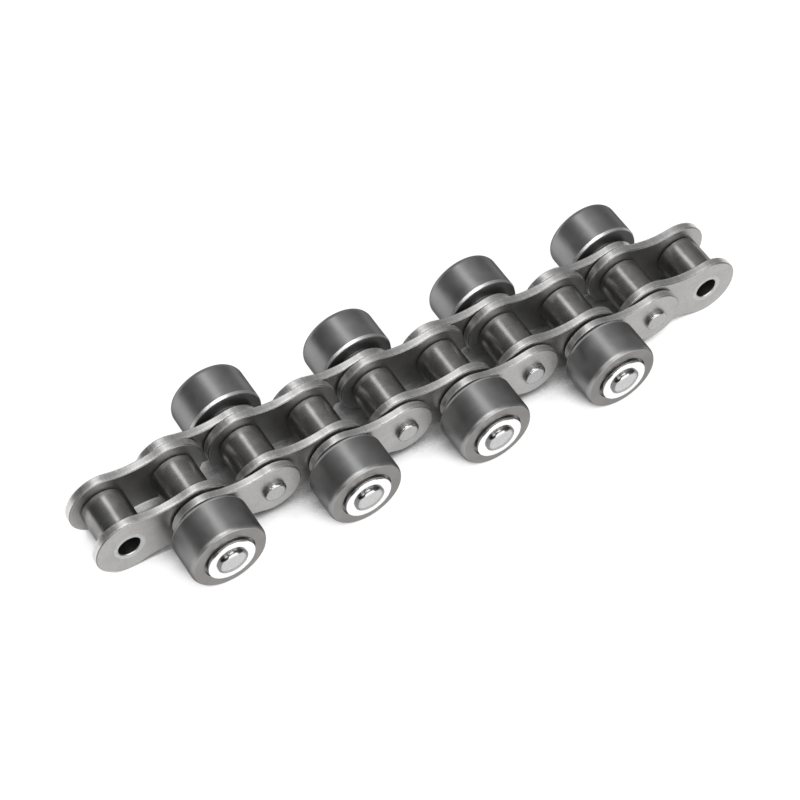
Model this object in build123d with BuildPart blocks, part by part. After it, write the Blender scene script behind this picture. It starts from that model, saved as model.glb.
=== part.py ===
from build123d import *

import os

# Conveyor chain with outboard rollers, in millimetres.
# +X runs along the chain, +Y across it to the rear, +Z up.
# The origin is at mid length and mid width, on the line through the pivots.

# Driving dimensions
pitch = 25.4                     # pivot to pivot
inner_link_count = 5
inner_width = 15.75              # clear width between the two inner plates
plate_thickness = 3.2
side_play = 0.45                 # gap between an inner plate and the outer plate beside it
pin_diameter = 7.92
chain_roller_diameter = 15.88
side_roller_diameter = 27.4

# Running fits, on the radius
pin_fit = 0.06                   # pin in bush
chain_roller_fit = 0.07          # chain roller on bush
side_roller_fit = 0.05           # side roller on pin

# Link plates: waisted outlines, the inner plates taller than the outer ones
inner_plate_height = 23.8
inner_waist_height = 19.8
outer_plate_height = 20.8
outer_waist_height = 16.8
plate_edge_break = 0.35

# Bushes and chain rollers
bush_diameter = 11.3
bush_bore_break = 0.3
chain_roller_end_gap = 0.175     # to the inner plate at each end
chain_roller_edge_break = 0.5

# Side rollers, measured outward from the outer plate
thrust_gap = 0.2
hub_boss_diameter = 16.0
hub_boss_height = 1.8
inboard_bevel_length = 1.1
inboard_bevel_depth = 0.45
tread_length = 11.55
outboard_round_length = 1.9      # the tread curves in toward the end face over this length
outboard_round_depth = 0.7
recess_diameter = 18.4
recess_depth = 1.0
outboard_hub_diameter = 14.0
outboard_hub_rise = 0.2          # how far the hub stands out of the end face

# Pins and end washers
short_end_length = 1.8           # how far a pin stands out of the plate without a roller
short_end_diameter = 8.3         # spread a little by riveting
short_end_round = 1.0
washer_diameter = 17.0
washer_thickness = 1.0
washer_edge_break = 0.12
rivet_head_diameter = 11.0
rivet_head_rim = 0.5
rivet_head_height = 1.15
rivet_head_flat_diameter = 7.2

# Values worked out from the driving dimensions
pivot_count = 2 * inner_link_count
outer_link_count = inner_link_count - 1
pin_radius = pin_diameter / 2
bush_radius = bush_diameter / 2
bush_bore_radius = pin_radius + pin_fit
inner_plate_inside = inner_width / 2
inner_plate_outside = inner_plate_inside + plate_thickness
outer_plate_inside = inner_plate_outside + side_play
outer_plate_outside = outer_plate_inside + plate_thickness
side_roller_radius = side_roller_diameter / 2
side_roller_bore_radius = pin_radius + side_roller_fit
hub_face = outer_plate_outside + thrust_gap
inboard_face = hub_face + hub_boss_height
tread_start = inboard_face + inboard_bevel_length
tread_end = tread_start + tread_length
outboard_face = tread_end + outboard_round_length
recess_floor = outboard_face - recess_depth
outboard_hub_face = outboard_face + outboard_hub_rise
washer_inside = outboard_hub_face + thrust_gap
washer_outside = washer_inside + washer_thickness
head_crown = washer_outside + rivet_head_height

front = -1
rear = 1
side_names = {front: "front", rear: "rear"}

# Places of the pivots as (x, z), numbered from 1 at the left end. The strand stands straight
# on its side rollers, and the two end links hang down until their plates rest on the floor.
first_x = -pitch * (pivot_count - 1) / 2
pivot_places = {number: (first_x + pitch * (number - 1), 0) for number in range(1, pivot_count + 1)}
end_drop = side_roller_radius - inner_plate_height / 2
end_reach = (pitch**2 - end_drop**2) ** 0.5
end_x = pivot_places[pivot_count - 1][0] + end_reach
pivot_places[1] = (-end_x, -end_drop)
pivot_places[pivot_count] = (end_x, -end_drop)


def across_plane(place, y, along=(1, 0)):
    """Plane square to the pins, its normal toward the rear and its local x against `along`."""
    x, z = place
    return Plane(origin=(x, y, z), x_dir=(-along[0], 0, -along[1]), z_dir=(0, 1, 0))


def turning_plane(pivot, side):
    """Plane through a pivot's axis: local x is the radius, local y runs outward on one side."""
    x, z = pivot_places[pivot]
    return Plane(origin=(x, 0, z), x_dir=(-side, 0, 0), z_dir=(0, 0, -1))


def save(piece, name):
    piece.part.label = name
    export_step(piece.part, f"parts/{name}.step")


def link_plate(left, near_y, height, waist_height, hole_radius):
    """The plate from one pivot to the next: round ends and a hollow waist, tangent all round."""
    left_x, left_z = pivot_places[left]
    right_x, right_z = pivot_places[left + 1]
    middle = ((left_x + right_x) / 2, (left_z + right_z) / 2)
    along = (right_x - left_x, right_z - left_z)
    end_radius = height / 2
    waist_radius = waist_height / 2
    half_pitch = pitch / 2
    dip = end_radius - waist_radius
    hollow_centre = (half_pitch**2 - dip**2) / (2 * dip)
    reach = end_radius / (hollow_centre + dip)
    touch_x = half_pitch * (1 - reach)
    touch_y = hollow_centre * reach
    with BuildPart() as plate:
        with BuildSketch(across_plane(middle, near_y, along)):
            with BuildLine():
                ThreePointArc((-touch_x, touch_y), (0, waist_radius), (touch_x, touch_y))
                ThreePointArc((touch_x, touch_y), (half_pitch + end_radius, 0), (touch_x, -touch_y))
                ThreePointArc((touch_x, -touch_y), (0, -waist_radius), (-touch_x, -touch_y))
                ThreePointArc((-touch_x, -touch_y), (-half_pitch - end_radius, 0), (-touch_x, touch_y))
            make_face()
            with Locations((-half_pitch, 0), (half_pitch, 0)):
                Circle(hole_radius, mode=Mode.SUBTRACT)
        extrude(amount=plate_thickness)
        faces_apart = plate.faces().filter_by(Axis.Y)
        chamfer(faces_apart.wires().sort_by(SortBy.LENGTH)[-2:].edges(), plate_edge_break)
    return plate


def sleeve(pivot, half_length, outer_radius, bore_radius):
    """A plain tube on a pivot's axis, centred across the chain."""
    with BuildPart() as tube:
        with BuildSketch(across_plane(pivot_places[pivot], -half_length)):
            Circle(outer_radius)
            Circle(bore_radius, mode=Mode.SUBTRACT)
        extrude(amount=2 * half_length)
    return tube


def bush(pivot):
    """A tube pressed into both inner plates, flush with their outer faces."""
    tube = sleeve(pivot, inner_plate_outside, bush_radius, bush_bore_radius)
    with BuildPart() as finished:
        add(tube.part)
        bore_mouths = finished.edges().filter_by(GeomType.CIRCLE).group_by(SortBy.RADIUS)[0]
        chamfer(bore_mouths, bush_bore_break)
    return finished


def chain_roller(pivot):
    """The roller that a sprocket tooth meets, free on its bush."""
    half_length = inner_plate_inside - chain_roller_end_gap
    bore_radius = bush_radius + chain_roller_fit
    tube = sleeve(pivot, half_length, chain_roller_diameter / 2, bore_radius)
    with BuildPart() as finished:
        add(tube.part)
        rims = finished.edges().filter_by(GeomType.CIRCLE).group_by(SortBy.RADIUS)[-1]
        chamfer(rims, chain_roller_edge_break)
    return finished


def turned(pivot, side, profile, bends):
    """A solid turned about a pivot's axis from (radius, distance outward) points.

    The run from a point in `bends` to the next is an arc that leaves it in the given direction.
    """
    x, z = pivot_places[pivot]
    with BuildPart() as solid:
        with BuildSketch(turning_plane(pivot, side)):
            with BuildLine():
                for start, end in zip(profile, profile[1:] + profile[:1]):
                    if start in bends:
                        TangentArc(start, end, tangent=bends[start])
                    else:
                        Line(start, end)
            make_face()
        revolve(axis=Axis((x, 0, z), (0, 1, 0)))
    return solid


def roller_pin(pivot, side):
    """A pin held by both outer plates, long on one side to carry a side roller."""
    short_radius = short_end_diameter / 2
    head_radius = rivet_head_diameter / 2
    head_flat_edge = (rivet_head_flat_diameter / 2, head_crown)
    short_tip = -outer_plate_outside - short_end_length
    short_rim = (short_radius, short_tip + short_end_round)
    profile = [
        (0, head_crown),
        head_flat_edge,
        (head_radius, washer_outside + rivet_head_rim),
        (head_radius, washer_outside),
        (pin_radius, washer_outside),
        (pin_radius, -outer_plate_outside),
        (short_radius, -outer_plate_outside),
        short_rim,
        (short_radius - short_end_round, short_tip),
        (0, short_tip),
    ]
    return turned(pivot, side, profile, bends={head_flat_edge: (1, 0), short_rim: (0, -1)})


def side_roller(pivot, side):
    """An outboard roller: a boss toward the plate, a rounded outer edge, a recess round the hub."""
    bore_radius = side_roller_bore_radius
    tread_edge = (side_roller_radius, tread_end)
    profile = [
        (bore_radius, hub_face),
        (hub_boss_diameter / 2, hub_face),
        (hub_boss_diameter / 2, inboard_face),
        (side_roller_radius - inboard_bevel_depth, inboard_face),
        (side_roller_radius, tread_start),
        tread_edge,
        (side_roller_radius - outboard_round_depth, outboard_face),
        (recess_diameter / 2, outboard_face),
        (recess_diameter / 2, recess_floor),
        (outboard_hub_diameter / 2, recess_floor),
        (outboard_hub_diameter / 2, outboard_hub_face),
        (bore_radius, outboard_hub_face),
    ]
    return turned(pivot, side, profile, bends={tread_edge: (0, 1)})


def end_washers(front_pivot, rear_pivot):
    """The two washers that keep an outer link's side rollers on their pins."""
    with BuildPart() as pair:
        for pivot, low_y in ((front_pivot, -washer_outside), (rear_pivot, washer_inside)):
            with BuildSketch(across_plane(pivot_places[pivot], low_y)):
                Circle(washer_diameter / 2)
                Circle(pin_radius, mode=Mode.SUBTRACT)
            extrude(amount=washer_thickness)
        rims = pair.edges().filter_by(GeomType.CIRCLE).group_by(SortBy.RADIUS)[-1]
        chamfer(rims, washer_edge_break)
    return pair


def plate_low_y(side, inside):
    """The lower Y of a plate whose inner face lies this far from the middle."""
    return inside if side == rear else -inside - plate_thickness


def save_inner_link(link):
    left = 2 * link - 1
    right = left + 1
    for side, side_name in side_names.items():
        low_y = plate_low_y(side, inner_plate_inside)
        plate = link_plate(left, low_y, inner_plate_height, inner_waist_height, bush_radius)
        save(plate, f"inner_plate_{side_name}_{link}")
    for pivot in (left, right):
        save(bush(pivot), f"bush_{pivot}")
        save(chain_roller(pivot), f"chain_roller_{pivot}")


def save_outer_link(link):
    left = 2 * link
    right = left + 1
    for side, side_name in side_names.items():
        low_y = plate_low_y(side, outer_plate_inside)
        plate = link_plate(left, low_y, outer_plate_height, outer_waist_height, pin_radius)
        save(plate, f"outer_plate_{side_name}_{link}")
    for side, pivot in ((front, left), (rear, right)):
        save(roller_pin(pivot, side), f"{side_names[side]}_roller_pin_{link}")
        save(side_roller(pivot, side), f"{side_names[side]}_side_roller_{link}")
    save(end_washers(left, right), f"end_washers_{link}")


os.makedirs("parts", exist_ok=True)
for link_number in range(1, inner_link_count + 1):
    save_inner_link(link_number)
for link_number in range(1, outer_link_count + 1):
    save_outer_link(link_number)
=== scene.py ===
import math

import bpy
from mathutils import Matrix, Vector


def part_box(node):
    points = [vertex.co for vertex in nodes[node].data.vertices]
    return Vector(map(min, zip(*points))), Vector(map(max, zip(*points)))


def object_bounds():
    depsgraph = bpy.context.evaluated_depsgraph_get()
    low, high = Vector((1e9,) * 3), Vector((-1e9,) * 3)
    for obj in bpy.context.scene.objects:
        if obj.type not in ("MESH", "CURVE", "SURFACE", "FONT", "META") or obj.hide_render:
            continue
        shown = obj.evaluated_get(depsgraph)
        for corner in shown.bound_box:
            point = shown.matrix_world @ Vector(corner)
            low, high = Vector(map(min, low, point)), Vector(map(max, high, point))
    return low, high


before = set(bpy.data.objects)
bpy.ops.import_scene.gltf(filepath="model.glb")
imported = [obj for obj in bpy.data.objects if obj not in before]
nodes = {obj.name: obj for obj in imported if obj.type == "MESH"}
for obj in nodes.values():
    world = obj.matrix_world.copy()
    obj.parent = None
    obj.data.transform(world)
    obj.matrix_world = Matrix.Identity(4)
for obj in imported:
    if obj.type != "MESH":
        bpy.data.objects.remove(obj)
cadLow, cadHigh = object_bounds()

mm = 0.001


# the camera, aimed down at the left front of the chain
view = {
    "azimuth": -35.85,
    "elevation": 51.13,
    "roll": 5.45,
    "distance": 0.8301,
    "lens": 111.25,
    "sensorWidth": 36,
    "aim": (-0.00798, -0.0029, 0.0),
    "clip": (0.01, 50),
}


def addCamera():
    azimuth = math.radians(view["azimuth"])
    elevation = math.radians(view["elevation"])
    roll = math.radians(view["roll"])
    back = Vector((
        math.sin(azimuth) * math.cos(elevation),
        -math.cos(azimuth) * math.cos(elevation),
        math.sin(elevation),
    ))
    across = Vector((0, 0, 1)).cross(back).normalized()
    upward = back.cross(across)
    right = math.cos(roll) * across + math.sin(roll) * upward
    up = math.cos(roll) * upward - math.sin(roll) * across
    turn = Matrix((right, up, back)).transposed().to_4x4()
    place = Vector(view["aim"]) + back * view["distance"]
    camera = bpy.data.cameras.new("studioCamera")
    camera.lens = view["lens"]
    camera.sensor_width = view["sensorWidth"]
    camera.clip_start, camera.clip_end = view["clip"]
    cameraObject = bpy.data.objects.new("studioCamera", camera)
    cameraObject.matrix_world = Matrix.Translation(place) @ turn
    bpy.context.scene.collection.objects.link(cameraObject)
    bpy.context.scene.camera = cameraObject


addCamera()
print("camera placed")


# node helpers, used by the floor, the world and every steel

def newMaterial(name):
    material = bpy.data.materials.new(name)
    material.use_nodes = True
    tree = material.node_tree
    tree.nodes.clear()
    return material, tree


def addNode(tree, kind, inputs=None, **settings):
    # inputs holds plain values, or the sockets that feed them
    node = tree.nodes.new(kind)
    for key, value in settings.items():
        setattr(node, key, value)
    for key, value in (inputs or {}).items():
        if isinstance(value, bpy.types.NodeSocket):
            tree.links.new(value, node.inputs[key])
        else:
            node.inputs[key].default_value = value
    return node


def grey(value, warm=0.0):
    return (value * (1 + warm), value, value * (1 - warm), 1)


def calculate(tree, operation, first, second=0.0):
    return addNode(tree, "ShaderNodeMath", {0: first, 1: second}, operation=operation).outputs[0]


def averageOf(tree, first, second):
    return calculate(tree, "MULTIPLY", calculate(tree, "ADD", first, second), 0.5)


def rescale(tree, value, low, high, newLow=0.0, newHigh=1.0):
    # eases from newLow to newHigh as the value goes from low to high
    node = addNode(tree, "ShaderNodeMapRange", {
        "Value": value, "From Min": low, "From Max": high, "To Min": newLow, "To Max": newHigh,
    }, interpolation_type="SMOOTHSTEP")
    return node.outputs["Result"]


def mixValues(tree, factor, first, second):
    # from first to second as the factor goes from 0 to 1
    return addNode(tree, "ShaderNodeMix", {0: factor, 2: first, 3: second}).outputs[0]


def blendColors(tree, factor, first, second):
    node = addNode(tree, "ShaderNodeMix", data_type="RGBA")
    factorIn, firstIn, secondIn = node.inputs[0], node.inputs[6], node.inputs[7]
    for socket, value in ((factorIn, factor), (firstIn, first), (secondIn, second)):
        if isinstance(value, bpy.types.NodeSocket):
            tree.links.new(value, socket)
        else:
            socket.default_value = value
    return node.outputs[2]


def grain(tree, coords, size, detail=3.0, stretch=(1, 1, 1)):
    # cloudy noise whose spots are about size metres across, times stretch along each axis
    squeeze = tuple(1 / (size * factor) for factor in stretch)
    scaled = addNode(tree, "ShaderNodeMapping", {"Vector": coords, "Scale": squeeze})
    inputs = {"Vector": scaled.outputs[0], "Scale": 1.0, "Detail": detail, "Roughness": 0.55}
    return addNode(tree, "ShaderNodeTexNoise", inputs).outputs["Fac"]


# noise mostly lies between these
usualSpan = (0.35, 0.65)
wideSpan = (0.3, 0.7)


def objectCoords(tree):
    return addNode(tree, "ShaderNodeTexCoord").outputs["Object"]


def acrossChain(tree, vector):
    # how far out it reaches across the chain, on either side
    split = addNode(tree, "ShaderNodeSeparateXYZ", {0: vector})
    return calculate(tree, "ABSOLUTE", split.outputs["Y"])


def sideways(tree):
    # 1 on faces square to the pins, 0 on edges and treads, which face away from the pins' line
    return acrossChain(tree, addNode(tree, "ShaderNodeNewGeometry").outputs["Normal"])


# edges: rounded off and worn in the shading only
edge = {
    "samples": 6,
    "wearFrom": (0.99, 0.86),        # how alike true and rounded normals are, unworn and worn
}


def finishSteel(tree, color, roughness, height, depth, rounding, metal=1.0, rim=1.0):
    # height is a relief from 0 to 1, depth its size in metres; rounding softens the sharp edges;
    # rim dims what is seen at a glancing angle
    soft = addNode(tree, "ShaderNodeBevel", {"Radius": rounding}, samples=edge["samples"])
    relief = addNode(tree, "ShaderNodeBump", {
        "Strength": 1.0, "Distance": depth, "Height": height, "Normal": soft.outputs[0],
    })
    shader = addNode(tree, "ShaderNodeBsdfPrincipled", {
        "Base Color": color, "Metallic": metal, "Roughness": roughness, "Normal": relief.outputs[0],
        "Specular Tint": grey(rim), "Specular IOR Level": 0.0,
    })
    addNode(tree, "ShaderNodeOutputMaterial", {"Surface": shader.outputs[0]})


def wornEdges(tree, reach):
    # 1 right on an edge, fading to 0 at reach metres from it
    normal = addNode(tree, "ShaderNodeNewGeometry").outputs["Normal"]
    soft = addNode(tree, "ShaderNodeBevel", {"Radius": reach}, samples=edge["samples"])
    alike = addNode(tree, "ShaderNodeVectorMath", {
        0: normal, 1: soft.outputs[0],
    }, operation="DOT_PRODUCT")
    return rescale(tree, alike.outputs["Value"], *edge["wearFrom"])


# a wide table that glows white, with a painted shadow where something stands close over it: there
# the table turns darker and stops glowing; softboxes above and surroundings that darken to the left
# and right
studio = {
    "floorSize": 6.0,
    "floorColor": 0.2,
    "paintedShadowColor": 0.14,
    "glow": 0.85,
    "floorRoughness": 0.6,
    "paintedShadowReach": 30 * mm,
    "paintedShadowSamples": 16,
    "paintedShadowFade": (0.16, 0.4),         # full painted shadow up to the first, none from the second
    "surround": (
        # direction's x, and how bright the surroundings are there
        (-1.0, 0.025), (-0.9, 0.035), (-0.63, 0.09), (-0.45, 0.165),
        (0.0, 0.43), (0.36, 0.43), (0.7, 0.24), (1.0, 0.12),
    ),
    "softboxes": (
        # name, place, width and length, watts, seen in reflections; all aim at the origin
        ("fillFrontLeft", (-0.87, -0.87, 1.03), (0.9, 0.9), 4.5, False),
        ("fillFrontRight", (0.87, -0.87, 1.03), (0.9, 0.9), 4.5, False),
        ("fillRearLeft", (-0.87, 0.87, 1.03), (0.9, 0.9), 4.5, False),
        ("fillRearRight", (0.87, 0.87, 1.03), (0.9, 0.9), 4.5, False),
        ("strip", (-0.05, 0.55, 0.95), (0.28, 0.7), 0.95, True),
        ("topFront", (-0.12, -0.26, 1.1), (0.7, 0.36), 4.0, True),
        ("leftFront", (-0.75, -0.4, 0.8), (0.4, 0.4), 1.5, True),
        ("front", (0.14, -0.9, 0.46), (1.1, 0.95), 8.0, True),
    ),
}


def addFloor():
    bpy.ops.mesh.primitive_plane_add(size=studio["floorSize"], location=(0, 0, cadLow.z))
    floor = bpy.context.object
    floor.name = "floor"
    material, tree = newMaterial("floorPaper")
    sky = addNode(tree, "ShaderNodeAmbientOcclusion", {
        "Distance": studio["paintedShadowReach"],
    }, samples=studio["paintedShadowSamples"])
    # painted shadow: where occlusion finds something close above, the floor gets a darker colour
    # and no glow
    clear = rescale(tree, sky.outputs["AO"], *studio["paintedShadowFade"])
    color = blendColors(tree, clear, grey(studio["paintedShadowColor"]), grey(studio["floorColor"]))
    shader = addNode(tree, "ShaderNodeBsdfPrincipled", {
        "Base Color": color, "Roughness": studio["floorRoughness"], "Emission Color": grey(1.0),
        "Emission Strength": calculate(tree, "MULTIPLY", clear, studio["glow"]),
    })
    addNode(tree, "ShaderNodeOutputMaterial", {"Surface": shader.outputs[0]})
    floor.data.materials.append(material)


def addSoftbox(name, place, size, power, glossy):
    light = bpy.data.lights.new(name, "AREA")
    light.shape = "RECTANGLE"
    light.size, light.size_y = size
    light.energy = power
    lamp = bpy.data.objects.new(name, light)
    lamp.location = place
    lamp.rotation_euler = (-Vector(place)).to_track_quat("-Z", "Y").to_euler()
    lamp.visible_glossy = glossy
    bpy.context.scene.collection.objects.link(lamp)


def addSurround():
    world = bpy.data.worlds.new("studio")
    world.use_nodes = True
    tree = world.node_tree
    coords = addNode(tree, "ShaderNodeTexCoord")
    split = addNode(tree, "ShaderNodeSeparateXYZ", {0: coords.outputs["Generated"]})
    spread = addNode(tree, "ShaderNodeMapRange", {"Value": split.outputs["X"], "From Min": -1.0})
    ramp = addNode(tree, "ShaderNodeValToRGB", {"Fac": spread.outputs[0]})
    stops = studio["surround"]
    while len(ramp.color_ramp.elements) < len(stops):
        ramp.color_ramp.elements.new(0.5)        # each gets its own place below
    for element, (x, brightness) in zip(ramp.color_ramp.elements, stops):
        element.position = (x + 1) / 2
        element.color = grey(brightness)
    tree.links.new(ramp.outputs[0], tree.nodes["Background"].inputs[0])
    bpy.context.scene.world = world


addFloor()
addSurround()
for softbox in studio["softboxes"]:
    addSoftbox(*softbox)
print("studio set")


# link plates: satin faces, brighter sheared edges, dark edge breaks with worn corners
plate = {
    "warm": 0.015,
    "faceDark": 0.34,
    "faceLight": 0.42,
    "faceRoughness": (0.36, 0.46),
    "speckSize": 0.6 * mm,
    "speckShare": 0.6,       # of the mottle, the rest is cloud
    "cloudSize": 9 * mm,
    "edgeDark": 0.62,
    "edgeLight": 0.88,
    "edgeRoughness": (0.33, 0.43),
    "lineSize": 0.35 * mm,
    "lineDepth": 0.25,       # of the relief, for the punch lines on an edge
    "tearGrey": 0.58,        # the torn band along the middle of a sheared edge
    "tearStrength": 0.6,
    "tearFades": (1.4 * mm, 0.7 * mm),       # from mid thickness
    "tearWaver": 0.8 * mm,
    "tearWaverSize": 4 * mm,
    "onFaceFrom": (0.93, 0.99),      # how square to the pins a face is, and an edge isn't
    "onEdgeFrom": (0.35, 0.1),
    "cornerGrey": 0.24,
    "cornerRoughness": 0.45,
    "wornGrey": 0.6,
    "wornReach": 0.35 * mm,
    "wornSpecks": (0.3, 0.6),        # wear is weakest on specks below the first
    "wornStrength": (0.2, 0.8),
    "relief": 0.012 * mm,
    "rounding": 0.5 * mm,
}


def plateSteel(name, middle):
    # middle is how far the plate's mid thickness lies from the middle of the chain
    material, tree = newMaterial(name)
    coords = objectCoords(tree)
    warm = plate["warm"]
    specks = grain(tree, coords, plate["speckSize"])
    clouds = grain(tree, coords, plate["cloudSize"], detail=2)
    speckShare = calculate(tree, "MULTIPLY", specks, plate["speckShare"])
    cloudShare = calculate(tree, "MULTIPLY", clouds, 1 - plate["speckShare"])
    mottle = calculate(tree, "ADD", speckShare, cloudShare)
    faceDark, faceLight = grey(plate["faceDark"], warm), grey(plate["faceLight"], warm)
    faceColor = blendColors(tree, rescale(tree, mottle, *usualSpan), faceDark, faceLight)

    # fine lines across the thickness, left by the punch
    lines = grain(tree, coords, plate["lineSize"], stretch=(1, 12, 1))
    edgeDark, edgeLight = grey(plate["edgeDark"], warm), grey(plate["edgeLight"], warm)
    edgeColor = blendColors(tree, rescale(tree, lines, *wideSpan), edgeDark, edgeLight)
    offMiddle = calculate(tree, "SUBTRACT", acrossChain(tree, coords), middle)
    offMiddle = calculate(tree, "ABSOLUTE", offMiddle)
    waver = grain(tree, coords, plate["tearWaverSize"], detail=2)
    waver = calculate(tree, "MULTIPLY", waver, plate["tearWaver"])
    wavering = calculate(tree, "ADD", offMiddle, waver)
    torn = rescale(tree, wavering, *plate["tearFades"], 0, plate["tearStrength"])
    edgeColor = blendColors(tree, torn, edgeColor, grey(plate["tearGrey"]))

    facing = sideways(tree)
    onFace = rescale(tree, facing, *plate["onFaceFrom"])
    onEdge = rescale(tree, facing, *plate["onEdgeFrom"])
    color = blendColors(tree, onFace, grey(plate["cornerGrey"]), faceColor)
    color = blendColors(tree, onEdge, color, edgeColor)
    patchyWear = rescale(tree, specks, *plate["wornSpecks"], *plate["wornStrength"])
    worn = calculate(tree, "MULTIPLY", wornEdges(tree, plate["wornReach"]), patchyWear)
    color = blendColors(tree, worn, color, grey(plate["wornGrey"]))
    faceRoughness = rescale(tree, mottle, *wideSpan, *plate["faceRoughness"])
    edgeRoughness = rescale(tree, lines, *wideSpan, *plate["edgeRoughness"])
    roughness = mixValues(tree, onFace, plate["cornerRoughness"], faceRoughness)
    roughness = mixValues(tree, onEdge, roughness, edgeRoughness)
    shallow = calculate(tree, "MULTIPLY", lines, plate["lineDepth"])
    height = mixValues(tree, onEdge, specks, shallow)
    finishSteel(tree, color, roughness, height, plate["relief"], plate["rounding"])
    return material


# chain rollers: dark oiled steel, burnished by the sprocket in faint rings
chainRoller = {
    "warm": 0.02,
    "dark": 0.3,
    "light": 0.375,
    "roughness": (0.245, 0.27),
    "ringSize": 0.5 * mm,
    "speckSize": 0.4 * mm,
    "smearSize": 5 * mm,
    "wornGrey": 0.5,
    "wornReach": 0.3 * mm,
    "wornStrength": 0.5,
    "relief": 0.0008 * mm,
    "rounding": 0.25 * mm,
    "metal": 0.96,
    "rim": 0.4,
}


def chainRollerSteel(name):
    material, tree = newMaterial(name)
    coords = objectCoords(tree)
    warm = chainRoller["warm"]
    rings = grain(tree, coords, chainRoller["ringSize"], stretch=(60, 1, 60))
    smears = grain(tree, coords, chainRoller["smearSize"], detail=4)
    specks = grain(tree, coords, chainRoller["speckSize"])
    dark, light = grey(chainRoller["dark"], warm), grey(chainRoller["light"], warm)
    color = blendColors(tree, rescale(tree, smears, *usualSpan), dark, light)
    worn = wornEdges(tree, chainRoller["wornReach"])
    worn = calculate(tree, "MULTIPLY", worn, chainRoller["wornStrength"])
    color = blendColors(tree, worn, color, grey(chainRoller["wornGrey"]))
    mixed = averageOf(tree, specks, smears)
    roughness = rescale(tree, mixed, *usualSpan, *chainRoller["roughness"])
    finishSteel(
        tree, color, roughness, rings, chainRoller["relief"], chainRoller["rounding"],
        chainRoller["metal"], chainRoller["rim"],
    )
    return material


# side rollers: blackened steel, turned all over with a fine feed mark
sideRoller = {
    "treadDark": 0.3,
    "treadLight": 0.365,
    "faceDark": 0.26,
    "faceLight": 0.32,
    "faceWarm": 0.03,
    "roughness": (0.33, 0.42),
    "feed": 0.22 * mm,
    "smearSize": 6 * mm,
    "onFaceFrom": (0.3, 0.9),
    "wornGrey": 0.6,
    "wornReach": 0.4 * mm,
    "wornStrength": (0.2, 0.6),
    "bevelHighlightGrey": 0.75,       # painted highlight on the inboard bevel
    "bevelTo": 17.85 * mm,
    "paintedShadeGrey": 0.26,        # painted shade on the inboard face and boss
    "paintedShadeTo": 16.9 * mm,
    "relief": 0.008 * mm,
    "rounding": 0.35 * mm,
    "metal": 0.97,
    "rim": 0.15,
}


def radiusFrom(tree, coords, centre):
    back = tuple(-part for part in centre)
    moved = addNode(tree, "ShaderNodeMapping", {"Vector": coords, "Location": back})
    flat = addNode(tree, "ShaderNodeVectorMath", {
        0: moved.outputs[0], 1: (1, 0, 1),
    }, operation="MULTIPLY")
    length = addNode(tree, "ShaderNodeVectorMath", {0: flat.outputs[0]}, operation="LENGTH")
    return length.outputs["Value"]


def turningMarks(tree, coords, centre, feed):
    # rings by radius on the end faces and by y on the treads, as a lathe leaves them
    along = addNode(tree, "ShaderNodeSeparateXYZ", {0: coords}).outputs["Y"]
    path = calculate(tree, "ADD", radiusFrom(tree, coords, centre), along)
    inputs = {"W": path, "Scale": 1 / feed, "Detail": 2.0, "Roughness": 0.6}
    return addNode(tree, "ShaderNodeTexNoise", inputs, noise_dimensions="1D").outputs["Fac"]


def sideRollerSteel(name, centre):
    material, tree = newMaterial(name)
    coords = objectCoords(tree)
    marks = turningMarks(tree, coords, centre, sideRoller["feed"])
    smears = grain(tree, coords, sideRoller["smearSize"], detail=4)
    mixed = averageOf(tree, marks, smears)
    patches = rescale(tree, mixed, *usualSpan)
    treadDark, treadLight = grey(sideRoller["treadDark"]), grey(sideRoller["treadLight"])
    treadColor = blendColors(tree, patches, treadDark, treadLight)
    warm = sideRoller["faceWarm"]
    faceDark, faceLight = grey(sideRoller["faceDark"], warm), grey(sideRoller["faceLight"], warm)
    faceColor = blendColors(tree, patches, faceDark, faceLight)
    onFace = rescale(tree, sideways(tree), *sideRoller["onFaceFrom"])
    color = blendColors(tree, onFace, treadColor, faceColor)
    patchyWear = rescale(tree, smears, *usualSpan, *sideRoller["wornStrength"])
    worn = calculate(tree, "MULTIPLY", wornEdges(tree, sideRoller["wornReach"]), patchyWear)
    color = blendColors(tree, worn, color, grey(sideRoller["wornGrey"]))
    out = acrossChain(tree, coords)
    # painted highlight: the inboard bevel is coloured much lighter than the tread
    onBevel = calculate(tree, "LESS_THAN", out, sideRoller["bevelTo"])
    color = blendColors(tree, onBevel, color, grey(sideRoller["bevelHighlightGrey"]))
    # painted shade: the inboard face and boss, which sit in shade between roller and plates, are
    # coloured dark
    paintedShade = calculate(tree, "LESS_THAN", out, sideRoller["paintedShadeTo"])
    color = blendColors(tree, paintedShade, color, grey(sideRoller["paintedShadeGrey"]))
    roughness = rescale(tree, mixed, *usualSpan, *sideRoller["roughness"])
    finishSteel(
        tree, color, roughness, marks, sideRoller["relief"], sideRoller["rounding"],
        sideRoller["metal"], sideRoller["rim"],
    )
    return material


# pins: bright spun rivet heads outboard, plain satin ends by the plates
pin = {
    "headDark": 0.46,
    "headLight": 0.55,
    "headFrom": 25 * mm,             # the bright heads lie further out than this
    "headDome": (1.8 * mm, 240),     # radius where the dome starts, and how fast it steepens
    "flankShadeGrey": 0.2,                # painted shade on the heads' flanks
    "flankFrom": (4.3 * mm, 4.8 * mm),
    "endDark": 0.35,
    "endLight": 0.42,
    "endDome": (2.3 * mm, 250),
    "roughness": (0.14, 0.22),
    "spinSize": 0.3 * mm,
    "speckSize": 0.8 * mm,
    "wornGrey": 0.6,
    "wornReach": 0.15 * mm,
    "wornStrength": 0.3,
    "relief": 0.003 * mm,
    "rounding": 0.15 * mm,
}


def domed(tree, radius, start, steepening):
    # how far a dome has dropped at this radius
    past = calculate(tree, "MAXIMUM", calculate(tree, "SUBTRACT", radius, start), 0.0)
    squared = calculate(tree, "MULTIPLY", past, past)
    return calculate(tree, "MULTIPLY", squared, steepening / 2)


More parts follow.
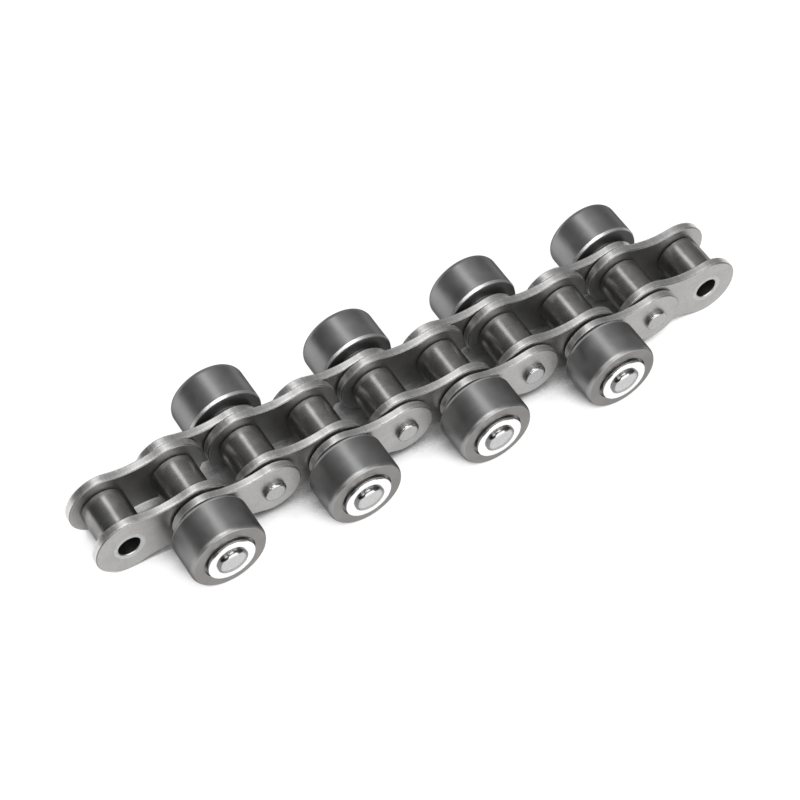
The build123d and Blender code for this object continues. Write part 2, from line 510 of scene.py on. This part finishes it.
def pinSteel(name, centre):
    material, tree = newMaterial(name)
    coords = objectCoords(tree)
    spun = turningMarks(tree, coords, centre, pin["spinSize"])
    specks = grain(tree, coords, pin["speckSize"])
    mixed = averageOf(tree, spun, specks)
    patches = rescale(tree, mixed, *usualSpan)
    radius = radiusFrom(tree, coords, centre)
    headColor = blendColors(tree, patches, grey(pin["headDark"]), grey(pin["headLight"]))
    # painted shade: a dark ring on the heads' flanks
    onFlank = rescale(tree, radius, *pin["flankFrom"])
    headColor = blendColors(tree, onFlank, headColor, grey(pin["flankShadeGrey"]))
    endColor = blendColors(tree, patches, grey(pin["endDark"]), grey(pin["endLight"]))
    atHead = calculate(tree, "GREATER_THAN", acrossChain(tree, coords), pin["headFrom"])
    color = blendColors(tree, atHead, endColor, headColor)
    worn = calculate(tree, "MULTIPLY", wornEdges(tree, pin["wornReach"]), pin["wornStrength"])
    color = blendColors(tree, worn, color, grey(pin["wornGrey"]))
    roughness = rescale(tree, mixed, *usualSpan, *pin["roughness"])
    headDrop = domed(tree, radius, *pin["headDome"])
    endDrop = domed(tree, radius, *pin["endDome"])
    drop = calculate(tree, "DIVIDE", mixValues(tree, atHead, endDrop, headDrop), pin["relief"])
    height = calculate(tree, "SUBTRACT", spun, drop)
    finishSteel(tree, color, roughness, height, pin["relief"], pin["rounding"])
    return material


# washers: bright zinc with a fine ground grain
washer = {
    "dark": 0.86,
    "light": 0.95,
    "roughness": (0.12, 0.2),
    "speckSize": 0.5 * mm,
    "edgeGrey": 0.97,
    "edgeReach": 0.2 * mm,
    "relief": 0.006 * mm,
    "rounding": 0.12 * mm,
}


def washerSteel(name):
    material, tree = newMaterial(name)
    coords = objectCoords(tree)
    specks = grain(tree, coords, washer["speckSize"], detail=4)
    patches = rescale(tree, specks, *usualSpan)
    color = blendColors(tree, patches, grey(washer["dark"]), grey(washer["light"]))
    onRim = wornEdges(tree, washer["edgeReach"])
    color = blendColors(tree, onRim, color, grey(washer["edgeGrey"]))
    roughness = rescale(tree, specks, *usualSpan, *washer["roughness"])
    finishSteel(tree, color, roughness, specks, washer["relief"], washer["rounding"])
    return material


# bushes: the plates' own grey, ground flush with them, with painted shade in the bore
bush = {
    "dark": 0.42,
    "light": 0.5,
    "roughness": (0.34, 0.44),
    "speckSize": 0.6 * mm,
    "boreShadeGrey": 0.17,
    "inBoreFrom": (0.5, 0.1),        # how square to the pins the face is
    "relief": 0.008 * mm,
    "rounding": 0.15 * mm,
}


def bushSteel(name):
    material, tree = newMaterial(name)
    coords = objectCoords(tree)
    specks = grain(tree, coords, bush["speckSize"])
    patches = rescale(tree, specks, *usualSpan)
    color = blendColors(tree, patches, grey(bush["dark"]), grey(bush["light"]))
    # painted shade: the bore is coloured dark
    inBore = rescale(tree, sideways(tree), *bush["inBoreFrom"])
    color = blendColors(tree, inBore, color, grey(bush["boreShadeGrey"]))
    roughness = rescale(tree, specks, *usualSpan, *bush["roughness"])
    finishSteel(tree, color, roughness, specks, bush["relief"], bush["rounding"])
    return material


def middleOf(name):
    low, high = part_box(name)
    return (low + high) / 2


def dressNodes():
    innerPlates = plateSteel("innerPlateSteel", abs(middleOf("inner_plate_front_1").y))
    outerPlates = plateSteel("outerPlateSteel", abs(middleOf("outer_plate_front_1").y))
    bushes = bushSteel("bushSteel")
    chainRollers = chainRollerSteel("chainRollerSteel")
    washers = washerSteel("washerSteel")
    for name, node in nodes.items():
        if name.startswith("inner_plate"):
            material = innerPlates
        elif name.startswith("outer_plate"):
            material = outerPlates
        elif name.startswith("bush"):
            material = bushes
        elif name.startswith("chain_roller"):
            material = chainRollers
        elif name.startswith("end_washers"):
            material = washers
        elif "side_roller" in name:
            material = sideRollerSteel(name + "_steel", middleOf(name))
        else:
            material = pinSteel(name + "_steel", middleOf(name))
        node.material_slots[0].material = material


dressNodes()
print("steels on")

bpy.context.scene.view_settings.view_transform = "Standard"
